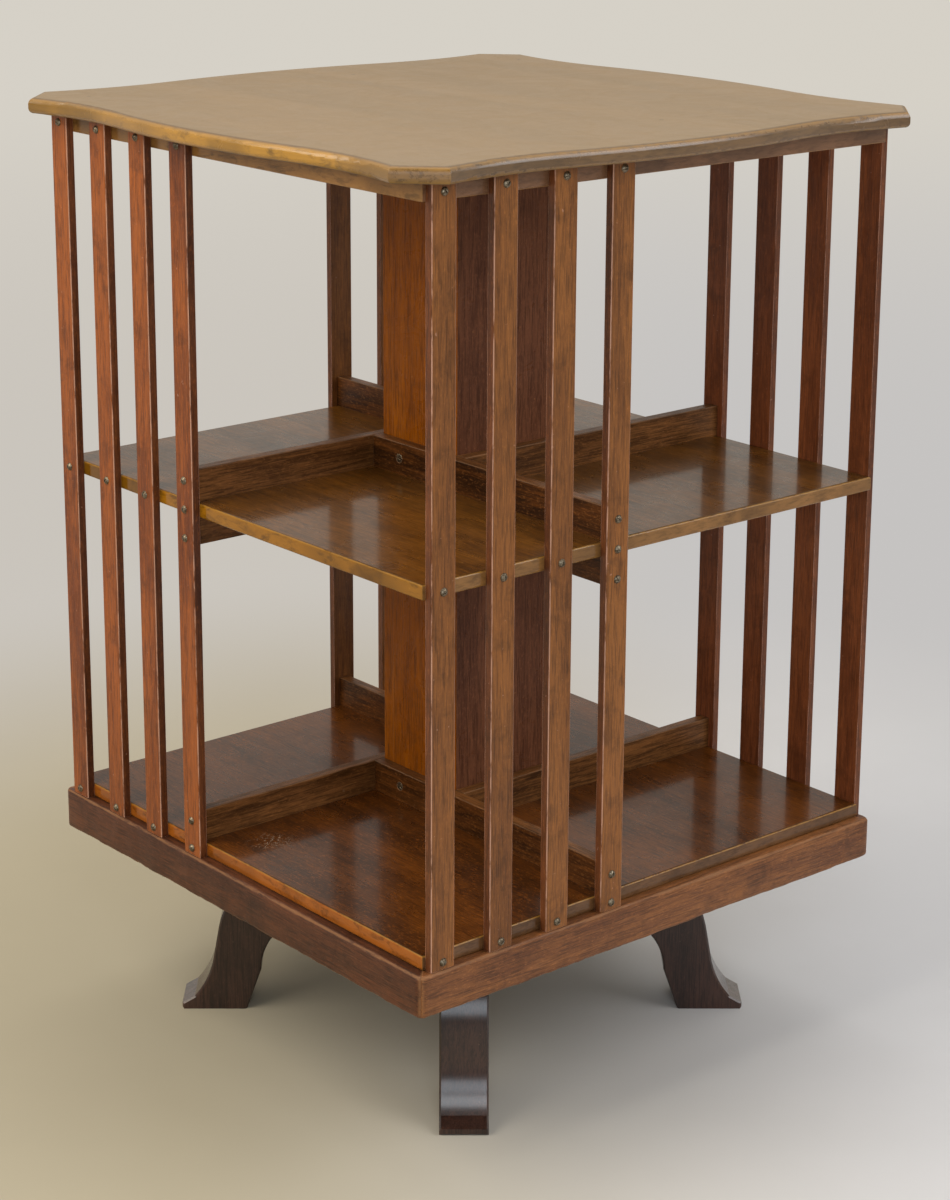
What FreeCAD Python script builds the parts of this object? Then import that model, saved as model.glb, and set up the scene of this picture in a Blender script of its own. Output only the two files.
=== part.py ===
import FreeCAD, Part
import math
import os

# A square revolving bookcase of two tiers: slatted case, box column and moulded top, on a
# fixed cross with four curved legs. Millimetres, +Z up, origin on the floor below the spindle.
# The front is -Y. What repeats on the four sides is made for the front and turned about Z.

SIDES = ("front", "right", "back", "left")
LEGS = ("front_left", "front_right", "back_right", "back_left")

# Heights of the stack, from the floor up
stand_height = 149.0
turning_gap = 3.0
plinth_height = 35.0
bay_height = 280.0
board_thickness = 12.0
sub_top_thickness = 15.0
top_thickness = 13.0

# Plinth
plinth_ledge = 9.0
plinth_rail_width = 60.0
plinth_arris = 2.5
hub_rail_width = 110.0
hub_rail_height = 27.0

# Boards, fences and column
board_side = 482.0
board_arris = 2.0
fence_thickness = 11.0
fence_rise = 27.0
fence_drop = 24.0
fence_arris = 1.0
column_side = 97.0
column_wall = 12.0
bearing_block_height = 25.0
bearing_block_below_top = 45.0

# Slats
slats_per_side = 4
slat_width = 23.0
slat_thickness = 7.0
slat_pitch = 57.5
first_slat_inset = 3.0
slat_arris = 1.6

# Moulded top: each side swells at its middle, narrows to a waist and flares to a cut corner
top_waist_overhang = 19.5
top_waist_place = 165.0
top_swell = 13.5
top_flare = 8.5
top_corner_inset = 3.0
top_upper_round = 5.5
top_lower_round = 4.5

# Stand: a halved cross with a curved leg on each end
leg_turn_degrees = -39.5
leg_width = 40.0
leg_reach = 247.0
leg_foot_length = 57.0
leg_top_land = 11.0
leg_nose_height = 5.5
leg_nose_bevel = 1.5
toe_slope_run = 11.0
toe_slope_rise = 6.5
toe_curve_radius = 75.0
shin_lean_degrees = 10.0
shin_foot_height = 48.0
shin_length = 28.0
knee_thickness = 38.4
leg_arris = 1.5
arm_height = 61.0
dowel_radius = 5.0
dowel_length = 50.0
dowel_spacing = 30.0
dowel_end_clearance = 0.5

# Spindle and its bearings
spindle_radius = 9.0
spindle_tenon_radius = 6.0
spindle_above_bush = 8.0
running_clearance = 0.05
fitted_clearance = 0.05
spindle_passage_radius = 13.0
flange_radius = 44.0
flange_thickness = 4.0
washer_radius = 22.0
washer_thickness = 3.0
socket_plate_radius = 44.0
bush_radius = 14.0
bush_collar_radius = 19.0
bush_collar_height = 3.0

# Screws are faceted: they repeat many times
screw_facets = 8
screw_hole_clearance = 0.2

# Round-head screws of the slats
slat_screw_head_radius = 3.4
slat_screw_head_height = 2.3
slat_screw_shank_radius = 1.7
slat_screw_length = 18.0
fence_screw_offset = 18.0

# Countersunk screws
flat_screw_head_radius = 4.0
flat_screw_head_height = 2.4
flat_screw_shank_radius = 1.9
fence_screw_length = 19.0
fence_screw_place = 14.0
plate_screw_length = 22.0
plate_screw_circle = 33.0
top_screw_length = 23.0
top_screw_inset = 46.0

# Heights and half widths that follow
plinth_bottom = stand_height + turning_gap
plinth_top = plinth_bottom + plinth_height
lower_floor = plinth_top + board_thickness
shelf_bottom = lower_floor + bay_height
shelf_top = shelf_bottom + board_thickness
sub_top_bottom = shelf_top + bay_height
top_bottom = sub_top_bottom + sub_top_thickness
top_height = top_bottom + top_thickness
board_half = board_side / 2
plinth_half = board_half + plinth_ledge
top_waist_half = board_half + top_waist_overhang
top_corner_place = board_half - top_corner_inset
top_screw_reach = board_half - top_screw_inset
column_half = column_side / 2
column_inner_half = column_half - column_wall
slat_face = board_half + slat_thickness
hub_rail_bottom = plinth_top - hub_rail_height
flange_top = stand_height + flange_thickness
washer_top = flange_top + washer_thickness
bearing_block_bottom = sub_top_bottom - bearing_block_below_top - bearing_block_height
bearing_block_top = bearing_block_bottom + bearing_block_height
bush_top = bearing_block_top + bush_collar_height

# Where the leg's curves meet, as reach from the spindle and height
shin_lean = math.radians(shin_lean_degrees)
arm_bottom = stand_height - arm_height
toe_top = (leg_reach - toe_slope_run, leg_nose_height + toe_slope_rise)
toe_rise = (shin_foot_height - toe_top[1]) / toe_curve_radius + math.sin(shin_lean)
toe_inset = math.sqrt(1 - toe_rise ** 2)
instep = (toe_top[0] + toe_curve_radius * toe_inset, toe_top[1] + toe_curve_radius * toe_rise)
shin_foot = (instep[0] - toe_curve_radius * math.cos(shin_lean), shin_foot_height)
shin_run = shin_length * math.sin(shin_lean)
shin_head = (shin_foot[0] - shin_run, shin_foot[1] + shin_length * math.cos(shin_lean))
knee_radius = (stand_height - shin_head[1]) / (1 - math.sin(shin_lean))
knee = (shin_head[0] - knee_radius * math.cos(shin_lean), stand_height - knee_radius)
leg_joint_reach = knee[0] - leg_top_land
inner_knee_radius = knee_radius - knee_thickness
inner_knee = (knee[0], arm_bottom - inner_knee_radius)


def vec(x, y, z):
    return FreeCAD.Vector(x, y, z)


def block(x_range, y_range, z_range):
    """A box from its low and high limits on each axis."""
    low = vec(x_range[0], y_range[0], z_range[0])
    size = [r[1] - r[0] for r in (x_range, y_range, z_range)]
    return Part.makeBox(size[0], size[1], size[2], low)


def turned(shape, quarter):
    """The front's shape turned to another side, one quarter turn for each step."""
    copy = shape.copy()
    copy.rotate(vec(0, 0, 0), vec(0, 0, 1), 90.0 * quarter)
    return copy


def spun(shape, degrees):
    copy = shape.copy()
    copy.rotate(vec(0, 0, 0), vec(0, 0, 1), degrees)
    return copy


def rounded(shape, radius, wanted):
    """Rounds the edges for which wanted(edge) holds."""
    edges = [edge for edge in shape.Edges if wanted(edge)]
    return shape.makeFillet(radius, edges)


def runs_along(edge, axis):
    """True for a straight edge along x, y or z."""
    if len(edge.Vertexes) != 2:
        return False
    step = edge.Vertexes[1].Point - edge.Vertexes[0].Point
    other = [abs(value) for i, value in enumerate(step) if i != "xyz".index(axis)]
    return max(other) < 1e-6


def at(edge, axis, value):
    """True where the edge's middle lies at this value of x, y or z."""
    return abs(getattr(edge.CenterOfMass, axis) - value) < 1e-6


def revolved(points):
    """A solid of revolution about Z from its half section, points of (radius, height)."""
    corners = [vec(radius, 0, height) for radius, height in points]
    face = Part.Face(Part.makePolygon(corners + [corners[0]]))
    return face.revolve(vec(0, 0, 0), vec(0, 0, 1), 360)


def export(node, shape):
    shape.exportStep("parts/%s.step" % node)


def faceted_bar(low_radius, high_radius, low, high):
    """A faceted bar along Z, or a tapering one."""
    outlines = []
    for radius, height in ((low_radius, low), (high_radius, high)):
        corners = []
        for facet in range(screw_facets):
            turn = 2 * math.pi * facet / screw_facets
            corners.append(vec(radius * math.cos(turn), radius * math.sin(turn), height))
        outlines.append(Part.makePolygon(corners + [corners[0]]))
    return Part.makeLoft(outlines, True, True)


def round_head_screw():
    """A round-head wood screw along +Z, with its head's seat on the plane z = 0."""
    rim = slat_screw_head_radius
    shoulder = rim * math.cos(math.pi / 6)
    crown = rim * math.cos(math.pi / 3)
    height = slat_screw_head_height
    shank = slat_screw_shank_radius
    head = faceted_bar(shoulder, rim, -height / 2, 0)
    return head.fuse([faceted_bar(crown, shoulder, -height, -height / 2),
                      faceted_bar(shank, shank, 0, slat_screw_length)])


def round_head_hole():
    radius = slat_screw_shank_radius + screw_hole_clearance
    return faceted_bar(radius, radius, 0, slat_screw_length + screw_hole_clearance)


def flat_screw(length):
    """A countersunk wood screw along +Z, with the flat of its head on the plane z = 0."""
    shank = flat_screw_shank_radius
    head = faceted_bar(flat_screw_head_radius, shank, 0, flat_screw_head_height)
    return head.fuse(faceted_bar(shank, shank, flat_screw_head_height, length))


def flat_screw_hole(length):
    """The room for a countersunk screw: its own form a little larger all round."""
    gap = screw_hole_clearance
    shank = flat_screw_shank_radius + gap
    head = faceted_bar(flat_screw_head_radius + gap, shank, 0, flat_screw_head_height)
    return head.fuse(faceted_bar(shank, shank, flat_screw_head_height, length + gap))


def slat_left_edge(number):
    return -board_half + first_slat_inset + number * slat_pitch


def slat_screw_heights(number):
    """The outer slats take a screw at each board, the last one also in the fences."""
    heights = [(plinth_top + lower_floor) / 2, (shelf_bottom + shelf_top) / 2,
               (sub_top_bottom + top_bottom) / 2]
    if number == slats_per_side - 1:
        from_board = fence_screw_offset
        heights += [lower_floor + from_board, shelf_top + from_board, shelf_bottom - from_board]
    return heights


def slat_screw_places():
    """Where the front's slat screws go, as (x, height) pairs."""
    places = []
    for number in range(slats_per_side):
        middle = slat_left_edge(number) + slat_width / 2
        places += [(middle, height) for height in slat_screw_heights(number)]
    return places


def placed_slat_screws(piece):
    """The front's round-head screws, or their holes."""
    pieces = []
    for x, height in slat_screw_places():
        copy = piece.copy()
        copy.rotate(vec(0, 0, 0), vec(1, 0, 0), -90)
        copy.translate(vec(x, -slat_face, height))
        pieces.append(copy)
    return Part.makeCompound(pieces)


def all_slat_screw_holes():
    holes = placed_slat_screws(round_head_hole())
    return Part.makeCompound([turned(holes, quarter) for quarter in range(4)])


def slat(number):
    """One upright slat of the front, its outer arrises eased."""
    left = slat_left_edge(number)
    body = block((left, left + slat_width), (-slat_face, -board_half), (plinth_top, top_bottom))
    body = rounded(body, slat_arris, lambda edge: runs_along(edge, "z") and at(edge, "y", -slat_face))
    return body.cut(placed_slat_screws(round_head_hole()))


def fence_screw_heights():
    return (lower_floor + fence_rise / 2, shelf_top + fence_rise / 2)


def placed_fence_screws(make):
    """Screws, or holes, through the fences behind the front's bays into the column."""
    pieces = []
    for height in fence_screw_heights():
        piece = make(fence_screw_length)
        piece.rotate(vec(0, 0, 0), vec(1, 0, 0), -90)
        piece.translate(vec(-fence_screw_place, -column_half - fence_thickness, height))
        pieces.append(piece)
    return Part.makeCompound(pieces)


def fence(low, high):
    """The front bay's back wall: it starts on the left fence and ends behind the right slats."""
    body = block((-column_half, board_half), (-column_half - fence_thickness, -column_half), (low, high))
    body = rounded(body, fence_arris, lambda edge: runs_along(edge, "x") and at(edge, "z", high))
    body = body.cut(placed_fence_screws(flat_screw_hole))
    return body.cut(all_slat_screw_holes())


def shelf_board():
    """The front quarter of the middle shelf, its two outer edges eased."""
    back = -column_half - fence_thickness
    body = block((-column_half, board_half), (-board_half, back), (shelf_bottom, shelf_top))
    body = rounded(body, board_arris, lambda edge: (runs_along(edge, "x") and at(edge, "y", -board_half))
                   or (runs_along(edge, "y") and at(edge, "x", board_half)))
    return body.cut(all_slat_screw_holes())


def column_board(quarter):
    """Front and back walls span the column, and the side walls stand between them."""
    reach = column_half if quarter % 2 == 0 else column_inner_half
    body = block((-reach, reach), (-column_half, -column_inner_half), (lower_floor, sub_top_bottom))
    return turned(body.cut(placed_fence_screws(flat_screw_hole)), quarter)


def square_board(low, high, arris):
    """A full-width board of the case with its outer arrises eased."""
    span = (-board_half, board_half)
    body = block(span, span, (low, high))
    return rounded(body, arris, lambda edge: not runs_along(edge, "z"))


def bottom_board():
    body = square_board(plinth_top, lower_floor, board_arris)
    passage = Part.makeCylinder(spindle_passage_radius, board_thickness, vec(0, 0, plinth_top))
    return body.cut(passage).cut(all_slat_screw_holes())


def sub_top():
    body = square_board(sub_top_bottom, top_bottom, 1.0)
    return body.cut(all_slat_screw_holes()).cut(placed_top_screws(flat_screw_hole))


def placed_top_screws(make):
    """Screws, or holes, up through the sub-top near its corners."""
    pieces = []
    for quarter in range(4):
        piece = make(top_screw_length)
        piece.translate(vec(top_screw_reach, -top_screw_reach, sub_top_bottom))
        pieces.append(turned(piece, quarter))
    return Part.makeCompound(pieces)


def flat_arc(centre, radius, start, end):
    """An arc at the underside of the top, through angles in degrees from +X."""
    points = []
    for angle in (start, (start + end) / 2, end):
        turn = math.radians(angle)
        step = vec(radius * math.cos(turn), radius * math.sin(turn), 0)
        points.append(vec(centre[0], centre[1], top_bottom) + step)
    return Part.Arc(points[0], points[1], points[2]).toShape()


def top_side():
    """The front side of the top: a hollow arc, the swell, and the hollow arc mirrored."""
    tip_run = top_corner_place - top_waist_place
    hollow = (tip_run ** 2 + top_flare ** 2) / (2 * top_flare)
    both = (top_waist_place ** 2 + top_swell ** 2) / (2 * top_swell)
    swell = both - hollow
    swell_centre = (0, -(top_waist_half + top_swell - swell))
    hollow_centre = (top_waist_place, -(top_waist_half + hollow))
    meeting = math.degrees(math.asin(top_waist_place / both))
    tip = math.degrees(math.asin(tip_run / hollow))
    left_centre = (-hollow_centre[0], hollow_centre[1])
    return [flat_arc(left_centre, hollow, 90 + tip, 90 - meeting),
            flat_arc(swell_centre, swell, 270 - meeting, 270 + meeting),
            flat_arc(hollow_centre, hollow, 90 + meeting, 90 - tip)]


def top_plate():
    """The moulded top: four swelling sides joined by cut corners, with rounded edges."""
    edges = []
    for quarter in range(4):
        side = [turned(edge, quarter) for edge in top_side()]
        next_side = turned(top_side()[0], quarter + 1)
        cut_corner = Part.makeLine(side[-1].Vertexes[-1].Point, next_side.Vertexes[0].Point)
        edges += side + [cut_corner]
    outline = Part.Wire(Part.__sortEdges__(edges))
    body = Part.Face(outline).extrude(vec(0, 0, top_thickness))
    body = rounded(body, top_upper_round, lambda edge: at(edge, "z", top_height))
    body = rounded(body, top_lower_round, lambda edge: at(edge, "z", top_bottom))
    return body.cut(placed_top_screws(flat_screw_hole))


def plinth_rail():
    """The front rail of the plinth, mitred at both ends."""
    half = plinth_half
    inner = half - plinth_rail_width
    body = block((-half, half), (-half, half), (plinth_bottom, plinth_top))
    body = rounded(body, plinth_arris, lambda edge: True)
    corners = [vec(-half, -half, plinth_bottom), vec(half, -half, plinth_bottom),
               vec(inner, -inner, plinth_bottom), vec(-inner, -inner, plinth_bottom)]
    wedge = Part.Face(Part.makePolygon(corners + [corners[0]])).extrude(vec(0, 0, plinth_height))
    return body.common(wedge)


def hub_rail():
    """The rail across the plinth that carries the case on the spindle."""
    reach = plinth_half - plinth_rail_width
    half = hub_rail_width / 2
    body = block((-reach, reach), (-half, half), (hub_rail_bottom, plinth_top))
    passage = Part.makeCylinder(spindle_passage_radius, hub_rail_height, vec(0, 0, hub_rail_bottom))
    return body.cut(passage).cut(placed_socket_screws(flat_screw_hole))


def placed_on_circle(pieces, degrees):
    """Four copies round the spindle."""
    return Part.makeCompound([spun(pieces, degrees + 90 * quarter) for quarter in range(4)])


def placed_socket_screws(make):
    """Screws, or holes, up through the socket plate into the hub rail."""
    piece = make(plate_screw_length)
    piece.translate(vec(plate_screw_circle, 0, washer_top))
    return placed_on_circle(piece, 45)


def placed_flange_screws(make):
    """Screws, or holes, down through the flange into the cross."""
    piece = make(plate_screw_length)
    piece.rotate(vec(0, 0, 0), vec(1, 0, 0), 180)
    piece.translate(vec(plate_screw_circle, 0, flange_top))
    return placed_on_circle(piece, 45 + leg_turn_degrees)


def socket_plate():
    """The iron disc under the hub rail that turns on the spindle's foot."""
    hole = spindle_radius + running_clearance
    height = hub_rail_bottom - washer_top
    body = Part.makeCylinder(socket_plate_radius, height, vec(0, 0, washer_top))
    body = body.cut(Part.makeCylinder(hole, height, vec(0, 0, washer_top)))
    return body.cut(placed_socket_screws(flat_screw_hole))


def bearing_block():
    """The block across the column's head that carries the upper bush."""
    half = column_inner_half
    body = block((-half, half), (-half, half), (bearing_block_bottom, bearing_block_top))
    radius = bush_radius + fitted_clearance
    return body.cut(Part.makeCylinder(radius, bearing_block_height, vec(0, 0, bearing_block_bottom)))


def upper_bush():
    bore = spindle_radius + running_clearance
    return revolved([(bore, bearing_block_bottom), (bush_radius, bearing_block_bottom),
                     (bush_radius, bearing_block_top), (bush_collar_radius, bearing_block_top),
                     (bush_collar_radius, bush_top), (bore, bush_top)])


def spindle_flange():
    """The iron disc on the cross that holds the spindle's tenon."""
    hole = spindle_tenon_radius + fitted_clearance
    body = Part.makeCylinder(flange_radius, flange_thickness, vec(0, 0, stand_height))
    body = body.cut(Part.makeCylinder(hole, flange_thickness, vec(0, 0, stand_height)))
    return body.cut(placed_flange_screws(flat_screw_hole))


def spindle():
    """The steel rod, with a tenon at its foot and a bevelled tip."""
    tip = bush_top + spindle_above_bush
    bevel = spindle_radius / 6
    return revolved([(0, stand_height), (spindle_tenon_radius, stand_height),
                     (spindle_tenon_radius, flange_top), (spindle_radius, flange_top),
                     (spindle_radius, tip - bevel), (spindle_radius - bevel, tip), (0, tip)])


def thrust_washer():
    bore = spindle_radius + running_clearance
    body = Part.makeCylinder(washer_radius, washer_thickness, vec(0, 0, flange_top))
    return body.cut(Part.makeCylinder(bore, washer_thickness, vec(0, 0, flange_top)))


def dowel_heights():
    middle = stand_height - arm_height / 2
    return (middle - dowel_spacing / 2, middle + dowel_spacing / 2)


def placed_dowels(radius, length):
    """The two dowels, or their holes, between the front leg and its arm."""
    start = -leg_joint_reach - length / 2
    pieces = [Part.makeCylinder(radius, length, vec(0, start, height), vec(0, 1, 0))
              for height in dowel_heights()]
    return Part.makeCompound(pieces)


def dowel_holes():
    holes = placed_dowels(dowel_radius + fitted_clearance, dowel_length + 2 * dowel_end_clearance)
    return Part.makeCompound([turned(holes, quarter) for quarter in range(4)])


def bearer(notch_low, notch_high, quarter):
    """One bar of the cross, halved at its middle, with dowel holes in its ends."""
    half = leg_width / 2
    body = block((-half, half), (-leg_joint_reach, leg_joint_reach),
                 (stand_height - arm_height, stand_height))
    body = body.cut(block((-half, half), (-half, half), (notch_low, notch_high)))
    body = spun(turned(body.cut(dowel_holes()), quarter), leg_turn_degrees)
    return body.cut(placed_flange_screws(flat_screw_hole))


def arc(centre, radius, start, end):
    """An arc in the leg's own plane, through angles in degrees from the outward direction."""
    points = []
    for angle in (start, (start + end) / 2, end):
        turn = math.radians(angle)
        points.append(vec(0, -(centre[0] + radius * math.cos(turn)), centre[1] + radius * math.sin(turn)))
    return Part.Arc(points[0], points[1], points[2]).toShape()


def leg_profile():
    """The leg's outline: toe, hollow instep, leaning shin, round knee, joint, inner curve and heel."""
    def point(place):
        return vec(0, -place[0], place[1])

    heel = (leg_reach - leg_foot_length, 0)
    foot = [heel, (leg_reach - leg_nose_bevel, 0), (leg_reach, leg_nose_bevel),
            (leg_reach, leg_nose_height), toe_top]
    edges = Part.makePolygon([point(place) for place in foot]).Edges
    toe_angle = math.degrees(math.asin(toe_rise))
    edges.append(arc(instep, toe_curve_radius, 180 + toe_angle, 180 + shin_lean_degrees))
    edges.append(Part.makeLine(point(shin_foot), point(shin_head)))
    edges.append(arc(knee, knee_radius, shin_lean_degrees, 90))
    joint = [(knee[0], stand_height), (leg_joint_reach, stand_height),
             (leg_joint_reach, arm_bottom), (inner_knee[0], arm_bottom)]
    edges += Part.makePolygon([point(place) for place in joint]).Edges
    edges.append(arc(inner_knee, inner_knee_radius, 90, 0))
    heel_top = (inner_knee[0] + inner_knee_radius, inner_knee[1])
    edges.append(Part.makeLine(point(heel_top), point(heel)))
    return Part.Wire(Part.__sortEdges__(edges))


def leg():
    """The front leg: the profile as wide as the arm, its outer arrises eased."""
    outline = leg_profile()
    outline.translate(vec(-leg_width / 2, 0, 0))
    body = Part.Face(outline).extrude(vec(leg_width, 0, 0))
    half = leg_width / 2
    eased = [edge for edge in body.Edges if (at(edge, "x", half) or at(edge, "x", -half))
             and edge.CenterOfMass.z > leg_arris and not at(edge, "y", -leg_joint_reach)]
    return body.makeChamfer(leg_arris, eased).cut(dowel_holes())


def make_stand():
    middle = stand_height - arm_height / 2
    for quarter, corner in enumerate(LEGS):
        export("leg_" + corner, spun(turned(leg(), quarter), leg_turn_degrees))
    export("cross_bearer_upper", bearer(stand_height - arm_height, middle, 0))
    export("cross_bearer_lower", bearer(middle, stand_height, 1))
    dowels = placed_dowels(dowel_radius, dowel_length)
    turned_dowels = [spun(turned(dowels, quarter), leg_turn_degrees) for quarter in range(4)]
    export("leg_dowels", Part.makeCompound(turned_dowels))
    export("spindle_flange", spindle_flange())
    export("flange_screws", placed_flange_screws(flat_screw))
    export("spindle", spindle())
    export("thrust_washer", thrust_washer())


def make_case():
    for quarter, side in enumerate(SIDES):
        export("plinth_rail_" + side, turned(plinth_rail(), quarter))
        export("column_board_" + side, column_board(quarter))
        export("shelf_board_" + side, turned(shelf_board(), quarter))
        shelf_fence = fence(shelf_bottom - fence_drop, shelf_top + fence_rise)
        export("shelf_fence_" + side, turned(shelf_fence, quarter))
        export("floor_fence_" + side, turned(fence(lower_floor, lower_floor + fence_rise), quarter))
        for number in range(slats_per_side):
            export("slat_%s_%d" % (side, number + 1), turned(slat(number), quarter))
    export("hub_rail", hub_rail())
    export("socket_plate", socket_plate())
    export("socket_screws", placed_socket_screws(flat_screw))
    export("bottom_board", bottom_board())
    export("bearing_block", bearing_block())
    export("upper_bush", upper_bush())
    export("sub_top", sub_top())
    export("top_plate", top_plate())
    export("top_screws", placed_top_screws(flat_screw))
    slat_screws = placed_slat_screws(round_head_screw())
    export("slat_screws", Part.makeCompound([turned(slat_screws, quarter) for quarter in range(4)]))
    fence_screws = placed_fence_screws(flat_screw)
    export("fence_screws", Part.makeCompound([turned(fence_screws, quarter) for quarter in range(4)]))


os.makedirs("parts", exist_ok=True)
make_stand()
make_case()
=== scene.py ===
import math
import random

import bmesh
import bpy
from mathutils import Matrix, Vector, noise


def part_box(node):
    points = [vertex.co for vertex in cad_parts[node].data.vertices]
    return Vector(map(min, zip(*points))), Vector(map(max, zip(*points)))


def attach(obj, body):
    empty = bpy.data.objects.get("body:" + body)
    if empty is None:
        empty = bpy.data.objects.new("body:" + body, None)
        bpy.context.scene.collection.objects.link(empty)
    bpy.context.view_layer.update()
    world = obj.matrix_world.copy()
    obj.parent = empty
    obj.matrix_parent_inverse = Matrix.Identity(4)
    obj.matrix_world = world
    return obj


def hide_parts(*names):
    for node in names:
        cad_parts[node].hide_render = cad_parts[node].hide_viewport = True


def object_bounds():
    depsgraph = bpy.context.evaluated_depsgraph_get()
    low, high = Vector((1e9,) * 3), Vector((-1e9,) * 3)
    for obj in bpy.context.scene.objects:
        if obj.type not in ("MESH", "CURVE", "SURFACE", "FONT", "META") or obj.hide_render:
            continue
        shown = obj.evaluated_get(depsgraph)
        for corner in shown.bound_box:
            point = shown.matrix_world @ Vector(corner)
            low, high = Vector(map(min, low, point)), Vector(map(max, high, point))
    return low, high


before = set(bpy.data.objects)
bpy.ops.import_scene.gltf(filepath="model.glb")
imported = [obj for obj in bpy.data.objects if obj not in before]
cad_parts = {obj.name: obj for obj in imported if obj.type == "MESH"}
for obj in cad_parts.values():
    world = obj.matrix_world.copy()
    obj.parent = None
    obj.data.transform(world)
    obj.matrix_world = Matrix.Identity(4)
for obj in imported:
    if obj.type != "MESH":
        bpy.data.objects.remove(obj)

# The looks of a square revolving bookcase: old polished mahogany, dulled screws, a pale studio
# sweep and soft light. Metres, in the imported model's frame. Front is -Y.

cad_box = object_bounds()
SIDES = ("front", "right", "back", "left")
AXES = {"x": (1.0, 0.0, 0.0), "y": (0.0, 1.0, 0.0), "z": (0.0, 0.0, 1.0)}
slats_a_side = 4
right_angle = 90.0
random.seed(7)

# Camera at the photograph's angle: degrees round the spindle, then where it looks
camera_azimuth = -39.92
camera_distance = 2.219
camera_height = 1.0797
camera_heading = -40.15
camera_pitch = 14.63
camera_roll = 0.29
camera_sensor = 36.0
camera_lens = 81.48
camera_shift = -0.1208

# The studio: a pale backdrop behind the object, a dimmer room before it
backdrop_colour = (0.62, 0.59, 0.53)
room_colour = (0.2, 0.18, 0.15)
backdrop_range = (-0.45, 0.5)

# The floor: lit near the object, with a glow of its own from glow_range on, paler far off
floor_radius = 40.0
floor_segments = 96
# The near floor holds painted light: warmer and darker on the left, cooler and brighter on the
# right
near_floor_left = (0.45, 0.405, 0.305)
near_floor_right = (0.66, 0.66, 0.68)
middle_floor_left = (0.59, 0.555, 0.505)
middle_floor_right = (0.56, 0.545, 0.535)
far_floor = (0.67, 0.635, 0.57)
floor_mottle = (0.2, 0.18, 0.14)
warm_to_cool_range = (-0.25, 0.45)
glow_range = (0.5, 1.3)
far_range = (1.6, 7.0)

# The plinth's worn corners and edges: how round, how finely cut, and how unevenly worn
corner_round = 0.007
corner_steps = 8
edge_ease = 0.0032
edge_steps = 120
ease_steps = 4
worn_skin = 0.00005
long_wear = 0.55
long_wear_scale = 38.0
short_wear = 0.35
short_wear_scale = 150.0

# Screw heads
head_radius = 0.0034
head_height = 0.0023
head_rings = 7
head_segments = 28
slot_length = 0.0136
slot_width = 0.0009
slot_depth = 0.0011
flat_head_radius = 0.004
flat_head_sink = 0.0003
flat_head_dome = 0.0002
flat_head_rings = 2
screws_from_board = 0.018
fence_screw_place = 0.014
sharp_angle = 35.0

# Wood layers: how fine each is across the grain, per metre, and how many times longer along it
tone_stretch = 9.0
ribbon_scale = 260.0
ribbon_stretch = 12.0
fleck_scale = 620.0
fleck_stretch = 2.6
pore_scale = 900.0
pore_stretch = 22.0
rub_and_highlight_scale = 150.0
rub_and_highlight_stretch = 5.0

# Layers that are as fine one way as another
smear_scale = 26.0
blotch_scale = 34.0
nick_scale = 240.0
haze_scale = 15.0
edge_patch_scale = 8.0
tarnish_scale = 420.0
mottle_scale = 3.0

# Layers that run along a board's edge, round the scuff, or across a screw head
edge_streak_scale = (90.0, 90.0, 420.0)
edge_spot_scale = (45.0, 45.0, 130.0)
thread_scale = (70.0, 130.0, 70.0)
scratch_scale = (2600.0, 190.0, 190.0)

# Some layers are moved off the others, so that their patterns don't line up
smear_shift = 1.0
edge_patch_shift = 2.0
blotch_shift = 3.0
fleck_shift = 4.0
rub_and_highlight_shift = 5.0
thread_shift = 8.0
nick_shift = 9.0

# Where each layer's noise starts to show, and where it shows in full
tone_range = (0.36, 0.64)
fleck_range = (0.5, 0.7)
pore_range = (0.48, 0.62)
blotch_range = (0.5, 0.72)
rub_and_highlight_range = (0.34, 0.54)
nick_range = (0.77, 0.82)
haze_range = (0.3, 0.75)
smear_range = (0.3, 0.75)
edge_patch_range = (0.42, 0.66)
edge_spot_range = (0.45, 0.68)
end_patch_range = (0.35, 0.65)
end_streak_range = (0.42, 0.68)
tarnish_range = (0.38, 0.62)
scratch_range = (0.3, 0.7)
mottle_range = (0.3, 0.7)
noise_middle = 0.5

# Which faces a mask takes, by how squarely they look along an axis
# The first range picks the faces that take tones of painted light and shade by the way they look
painted_shading_range = (0.55, 0.8)
flat_range = (0.8, 0.96)
side_range = (0.6, 0.9)
# The rim is a dark line of painted shade where a board's top starts to round
rim_start = (0.72, 0.93)
rim_end = (0.985, 0.999)
end_grain_range = (0.4, 0.75)
upward_range = (0.9, 0.99)

# How near an arris wear starts, and where it is full: 0 on the flat, more as the edge turns. On the
# slats this wear is also a painted highlight.
arris_range = (0.01, 0.08)
metal_arris_range = (0.03, 0.25)

# How strong a mark is, from 0 to 1
edge_patch_strength = 0.72
edge_spot_strength = 0.75
end_patch_strength = 0.65
end_streak_strength = 0.6
rim_strength = 0.55
nick_strength = 0.35
mark_strength = 0.8
thread_strength = 0.9
metal_arris_strength = 0.7
mottle_strength = 0.06
thinnest_dust_and_sheen = 0.8

# How much darker or lighter a mark is than what it lies on
fleck_tone = 1.9
metal_arris_tone = 1.9
pore_tone = 0.3
rim_tone = 0.3
stain_tone = 0.4
edge_dirt_tone = 0.28
end_dirt_tone = 0.45
end_streak_tone = 0.4

# Shine and relief
smear_gloss = (0.85, 1.2)
scratch_gloss = (0.75, 1.35)
rub_roughness = 0.2
edge_smoothness = 0.6
ribbon_relief = 0.3
pore_relief = 0.7
relief_depth = 0.0004
scratch_relief = 0.15
scratch_depth = 0.0001
metal_round_over = 0.0003
bevel_samples = 6

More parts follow.
